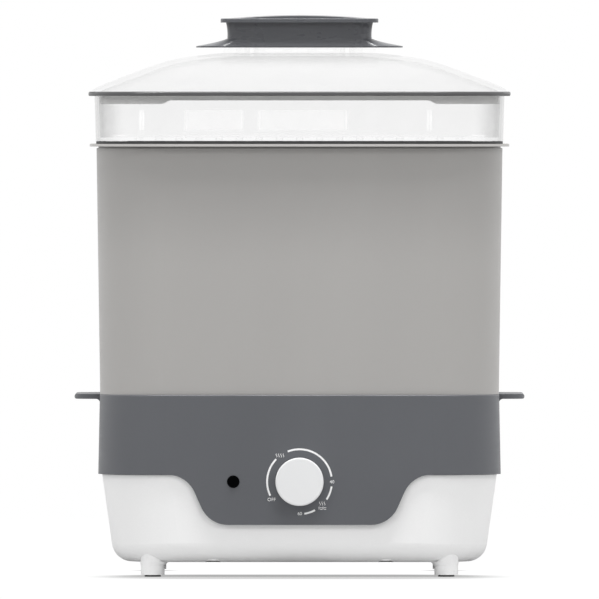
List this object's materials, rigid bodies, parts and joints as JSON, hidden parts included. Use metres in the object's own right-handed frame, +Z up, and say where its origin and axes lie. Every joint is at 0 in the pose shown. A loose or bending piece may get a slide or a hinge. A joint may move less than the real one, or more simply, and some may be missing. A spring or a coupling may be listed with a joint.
{
  "type": "bottle steriliser and dryer",
  "caption": "Electric steam steriliser and dryer for feeding bottles: dial base with steam dish and blower, lift-off bin, clear tray and domed lid with handle.",
  "frame": {"origin": "centre of the footprint, on the surface that the feet stand on", "axes": "+X to the right as seen facing the dial, +Y to the back (the dial faces -Y), +Z up"},
  "size_m": [0.2818, 0.2547, 0.3508],
  "materials": {
    "white_plastic": "fine satin",
    "dark_plastic": "satin",
    "black_plastic": "satin",
    "knob_white": "satin gloss",
    "white_print": "matte print",
    "lens_black": "gloss",
    "lamp_clear": "gloss",
    "board_green": "satin",
    "stainless": "brushed",
    "silicone": "matte",
    "cast_alloy": "as cast",
    "element_steel": "oxidised",
    "zinc_steel": "zinc plated",
    "steel_screw": "plated",
    "works_plastic": "matte",
    "rubber_gland": "matte",
    "rubber_pad": "matte",
    "foam": "open foam",
    "bin_grey": "satin",
    "rack_white": "satin",
    "clear_plastic": "clear polished",
    "insert_clear": "clear satin",
    "vent_clear": "translucent satin",
    "seal_dark": "matte",
    "seal_grey": "translucent matte",
    "lid_dark": "satin",
    "handle_dark": "satin"
  },
  "bodies": {
    "base": {"base_casing": "white_plastic", "base_floor": "white_plastic", "base_feet": "white_plastic", "foot_pads": "rubber_pad", "casing_screws": "steel_screw", "upper_housing": "dark_plastic", "deck_plate": "dark_plastic", "side_ledges": "dark_plastic", "filter_sleeve": "works_plastic", "selector_switch": "black_plastic", "dial_markings": "white_print", "indicator_lens": "lens_black", "indicator_lamp": "lamp_clear", "control_board": "board_green", "board_screws": "steel_screw", "power_relay": "black_plastic", "board_socket": "white_plastic", "board_capacitor": "black_plastic", "steam_dish": "stainless", "dish_seal": "silicone", "heater_plate": "cast_alloy", "heater_element": "element_steel", "heater_strap": "zinc_steel", "strap_screws": "steel_screw", "thermostat": "zinc_steel", "thermal_fuse": "zinc_steel", "blower_scroll": "works_plastic", "blower_cover": "works_plastic", "blower_motor": "zinc_steel", "blower_screws": "steel_screw", "air_duct": "works_plastic", "air_heater": "cast_alloy", "outlet_grille": "dark_plastic", "cord_gland": "rubber_gland", "terminal_block": "white_plastic"},
    "knob": {"dial_knob": "knob_white", "knob_shaft": "zinc_steel"},
    "blower_rotor": {"blower_wheel": "black_plastic", "motor_shaft": "zinc_steel"},
    "filter_drawer": {"filter_cover": "white_plastic", "filter_tray": "white_plastic", "filter_pad": "foam"},
    "bin": {"chamber_bin": "bin_grey"},
    "rack": {"bottle_rack": "rack_white"},
    "tray": {"accessory_tray": "clear_plastic", "tray_insert": "insert_clear", "tray_cups": "insert_clear", "tray_seal": "seal_dark"},
    "lid": {"lid_frame": "lid_dark", "lid_seal": "seal_grey", "lid_dome": "clear_plastic", "vent_ring": "vent_clear", "handle_skirt": "handle_dark", "handle_grip": "handle_dark", "handle_plate": "handle_dark", "handle_screws": "steel_screw"}
  },
  "joints": [
    {"name": "knob_turn", "type": "hinge", "parent": "base", "child": "knob", "pos_m": [0, -0.1193, 0.0595], "axis": [0, 1, 0], "range_deg": [0, 302.3]},
    {"name": "blower_spin", "type": "hinge", "parent": "base", "child": "blower_rotor", "pos_m": [-0.02, -0.005, 0.0365], "axis": [0, 0, 1], "continuous": true},
    {"name": "filter_slide", "type": "slide", "parent": "base", "child": "filter_drawer", "axis": [0, 1, 0], "range_m": [0, 0.04]},
    {"name": "bin_lift", "type": "slide", "parent": "base", "child": "bin", "axis": [0, 0, 1], "range_m": [0, 0.2]},
    {"name": "rack_lift", "type": "slide", "parent": "bin", "child": "rack", "axis": [0, 0, 1], "range_m": [0, 0.06]},
    {"name": "tray_lift", "type": "slide", "parent": "bin", "child": "tray", "axis": [0, 0, 1], "range_m": [0, 0.15]},
    {"name": "lid_lift", "type": "slide", "parent": "tray", "child": "lid", "axis": [0, 0, 1], "range_m": [0, 0.15]}
  ]
}
